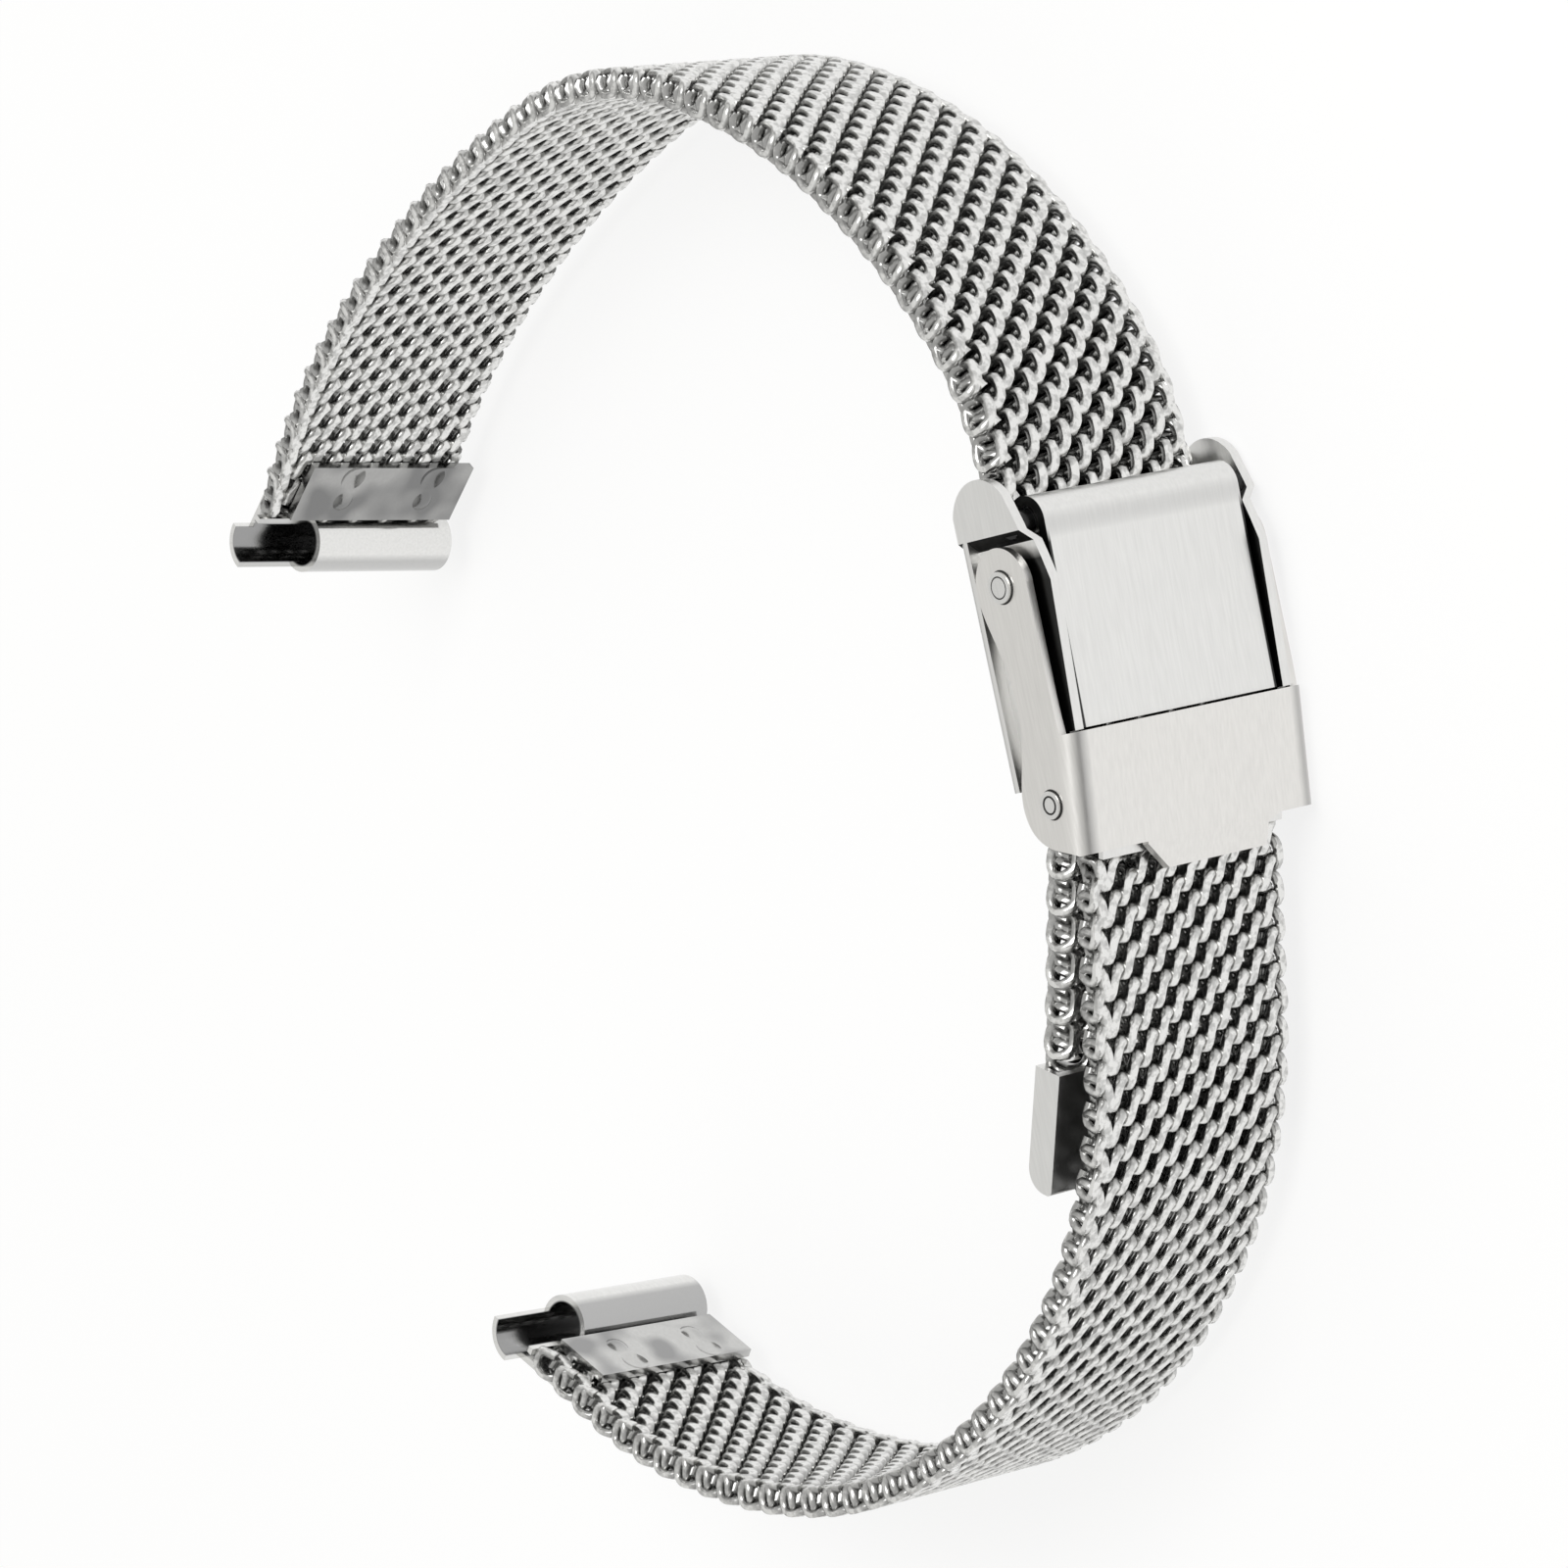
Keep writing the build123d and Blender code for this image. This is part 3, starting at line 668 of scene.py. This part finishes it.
def bar_tube_material(thing, mount, stripe_degrees, stripe_low, share, grey):
    """Bright sheet with painted shade inside its bore and one stripe of painted shade along the roll."""
    angle = math.radians(stripe_degrees)
    past_bore = 0.06
    material, tree, shader = steel_material(
        "bright_" + mount, grey=0.80, roughness=(0.12, 0.2), lines_degrees=0.0, relief=0.05)
    towards = facing(tree, thing, Vector((math.cos(angle), math.sin(angle), 0.0)))
    stripe = above(tree, towards, stripe_low, soft=0.08)
    # Painted shade: the stripe on the faces that look one way, then the inside of the bore
    darken(tree, shader, product(tree, stripe, share), grey)
    bore = next(m for m in frame["record"]["mounts"] if m["name"] == mount)
    away = vector_maths(tree, "SUBTRACT", coordinates(tree, "Object"), bore["pos_m"], "Vector")
    turned = vector_maths(tree, "CROSS_PRODUCT", away, bore["axis"], "Vector")
    reach = vector_maths(tree, "LENGTH", turned, None, "Value")
    radius = maths(tree, "DIVIDE", reach, MM)
    darken(tree, shader, below(tree, radius, bore["dims"]["r_mm"] + past_bore, soft=0.03), grey=0.34)
    return material


def crimp_material(name, grey):
    """Pressed plate whose tone drifts slowly over its face."""
    material, tree, shader = steel_material(
        name, grey, roughness=(0.16, 0.22), lines_degrees=20.0, relief=0.03)
    drift = noise_of(tree, coordinates(tree, "Object"), scale=420.0, detail=1.0)
    darken(tree, shader, above(tree, drift, 0.52, soft=0.12), grey=grey * 0.55)
    return material


def paint(node, material):
    """Give a CAD node its material."""
    thing = bpy.data.objects[node]
    thing.data.materials.clear()
    thing.data.materials.append(material)


def paint_cad():
    """Materials of all the CAD nodes that stay visible."""
    things = bpy.data.objects
    paint("hook_plate", satin_material("satin_sheet")[0])
    paint("tail_end_tip", tip_material(things["tail_end_tip"]))
    paint("slider_frame", frame_material(things["slider_frame"]))
    paint("locking_plate", plate_material(things["locking_plate"]))
    paint("safety_cover", cover_material(things["safety_cover"]))
    paint("bar_tube_long", bar_tube_material(
        things["bar_tube_long"], "long_end_bar_bore",
        stripe_degrees=-60.0, stripe_low=0.8, share=0.6, grey=0.36))
    paint("bar_tube_short", bar_tube_material(
        things["bar_tube_short"], "short_end_bar_bore",
        stripe_degrees=25.0, stripe_low=0.78, share=0.85, grey=0.42))
    # Painted shade: the long end's plate is given a darker grey than the short end's
    paint("crimp_plate_long", crimp_material("crimp_long", grey=0.40))
    paint("crimp_plate_short", crimp_material("crimp_short", grey=0.60))
    paint("plate_pin", pin_material(things["plate_pin"]))
    pin_steel = pin_steel_material("pin_steel")[0]
    for node in ("cover_pivot_rivets", "hook_bar"):
        paint(node, pin_steel)


def long_distance(number):
    """Place of a row on the long path, counted from the tip of the tail."""
    turned_rows = LOOSE_ROWS + TAIL_ROWS
    if number < turned_rows:
        return number * LONG_START / turned_rows
    return LONG_START + (number - turned_rows) * ROW


def short_distance(number):
    """Place of a row on the short path, counted from the hook plate."""
    return number * ROW


def bend_ends(path, distance):
    """Where a bend starts and ends, either side of its row."""
    return [tuple(path.place(distance + step, 0.0, 0.0, 0.0)) for step in (-BEND_REACH, BEND_REACH)]


def weave_strap(label, path, place_of, swing, bodies, nodes, rows, hinges):
    """A strap's weave in pieces: one over each hinge, and one at either end that rides."""
    first_row, last_row = rows
    middles = [(a + b + 1) // 2 for a, b in zip([0] + hinges, hinges + [last_row])]
    breaks = [first_row] + middles + [last_row + 1]
    for i, (low, high) in enumerate(zip(breaks, breaks[1:])):
        piece = weave(label + str(i), path, [(k, place_of(k)) for k in range(low, high)], swing)
        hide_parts(nodes[min(i, len(nodes) - 1)])
        if 0 < i < len(bodies):
            start, end = bend_ends(path, place_of(hinges[i - 1]))
            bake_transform(piece)
        else:
            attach(piece, bodies[min(i, len(bodies) - 1)])


def long_weave():
    """The mesh from the tip of the tail to the long end."""
    bodies = ["loose_tail", "tail"] + ["long_strap_" + str(i + 1) for i in range(SECTIONS)]
    nodes = ["tail_mesh_loose", "tail_mesh_in_clasp"]
    nodes += ["long_mesh_" + str(i + 1) for i in range(SECTIONS)]
    first = LOOSE_ROWS + TAIL_ROWS
    hinges = [LOOSE_ROWS] + [first + i * SECTION_LONG for i in range(SECTIONS)]
    rows = (LONG_FIRST_ROW, first + LONG_ROWS)
    weave_strap("weave_long_", long_strap_path(), long_distance, LONG_SWING, bodies, nodes, rows, hinges)


def short_weave():
    """The mesh from the hook plate to the short end."""
    bodies = ["hook"] + ["short_strap_" + str(i + 1) for i in range(1, SECTIONS)]
    nodes = ["short_mesh_" + str(i + 1) for i in range(SECTIONS)]
    hinges = [i * SECTION_SHORT for i in range(1, SECTIONS)]
    rows = (SHORT_FIRST_ROW, SHORT_ROWS)
    weave_strap("weave_short_", short_strap_path(), short_distance, SHORT_SWING, bodies, nodes, rows, hinges)


def ring_piece(name, centre, height, major, minor, material, body):
    """A thin closed ring that lies flat on one of the cover's arms."""
    x, y = from_clasp(*centre)
    points, faces = [], []
    for i in range(RING_POINTS):
        around = 2 * math.pi * i / RING_POINTS
        i_next = (i + 1) % RING_POINTS
        for j in range(RING_SIDES):
            through = 2 * math.pi * j / RING_SIDES
            j_next = (j + 1) % RING_SIDES
            reach = major + minor * math.cos(through)
            rise = height + minor * math.sin(through)
            point = Vector((x + reach * math.cos(around), y + reach * math.sin(around), rise))
            points.append(tuple(point * MM + LOW))
            here, ahead = i * RING_SIDES, i_next * RING_SIDES
            faces.append((here + j, ahead + j, ahead + j_next, here + j_next))
    mesh = bpy.data.meshes.new(name)
    mesh.from_pydata(points, [], faces)
    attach(add_piece(name, mesh, material), body)


def dark_rings():
    """Rings of painted shade: dark rings in the grooves of the rivets' and the cross bar's heads and round
    their feet.
    """
    groove = steel_material(
        "dark_groove", grey=0.05, roughness=(0.4, 0.5), lines_degrees=LEAN, relief=0.05)[0]
    for side, label in ((1, "near"), (-1, "far")):
        for kind, centre, rise, major, minor, body in SHADE_RINGS:
            ring_piece(kind + "_" + label, centre, side * (ARM_FACE + rise), major, minor, groove, body)


def floor():
    """Wide pale floor under the band's lower edge, white to the camera but for its shadow."""
    half, glow = 1.5, 0.8
    mesh = bpy.data.meshes.new("floor")
    corners = [(-half, -half, 0.0), (half, -half, 0.0), (half, half, 0.0), (-half, half, 0.0)]
    mesh.from_pydata(corners, [], [(0, 1, 2, 3)])
    thing = bpy.data.objects.new("floor", mesh)
    bpy.context.scene.collection.objects.link(thing)
    material, tree, shader = nodes_of("floor")
    noise = noise_of(tree, coordinates(tree, "Generated"), scale=40.0, detail=2.0)
    link(tree, ramp(tree, noise, [(0.3, 0.93), (0.7, 0.95)]), shader.inputs["Base Color"])
    shader.inputs["Roughness"].default_value = 0.9
    seen = tree.nodes.new("ShaderNodeLightPath").outputs
    rays = maths(tree, "MAXIMUM", seen["Is Camera Ray"], seen["Is Glossy Ray"])
    rays = maths(tree, "MAXIMUM", rays, seen["Is Transmission Ray"])
    white = tree.nodes.new("ShaderNodeEmission")
    white.inputs["Color"].default_value = (1.0, 1.0, 1.0, 1.0)
    mix = tree.nodes.new("ShaderNodeMixShader")
    link(tree, maths(tree, "MULTIPLY", rays, glow), mix.inputs["Fac"])
    link(tree, shader.outputs["BSDF"], mix.inputs[1])
    link(tree, white.outputs["Emission"], mix.inputs[2])
    link(tree, mix.outputs["Shader"], tree.nodes["Material Output"].inputs["Surface"])
    mesh.materials.append(material)


def world():
    """Soft surroundings, brighter overhead than at the horizon."""
    scene_world = bpy.data.worlds.new("world")
    bpy.context.scene.world = scene_world
    scene_world.use_nodes = True
    tree = scene_world.node_tree
    light = tree.nodes["Background"]
    parts = tree.nodes.new("ShaderNodeSeparateXYZ")
    link(tree, coordinates(tree, "Generated"), parts.inputs["Vector"])
    tone = ramp(tree, parts.outputs["Z"], [(0.0, 0.42), (0.2, 0.5), (0.5, 0.85), (1.0, 0.9)])
    link(tree, tone, light.inputs["Color"])
    light.inputs["Strength"].default_value = 0.9


def lamp(name, place, aim, size, power):
    """A soft square lamp that points at a place."""
    data = bpy.data.lights.new(name, "AREA")
    data.size = size
    data.energy = power
    thing = bpy.data.objects.new(name, data)
    thing.location = place
    away = Vector(aim) - Vector(place)
    thing.rotation_euler = away.to_track_quat("-Z", "Y").to_euler()
    bpy.context.scene.collection.objects.link(thing)


place_camera()
woven = wire_material()
paint_cad()
long_weave()
short_weave()
dark_rings()
floor()
world()
lamp("key", place=(0.15, 0.25, 0.45), aim=(0.0, 0.0, 0.0), size=0.3, power=1.2)
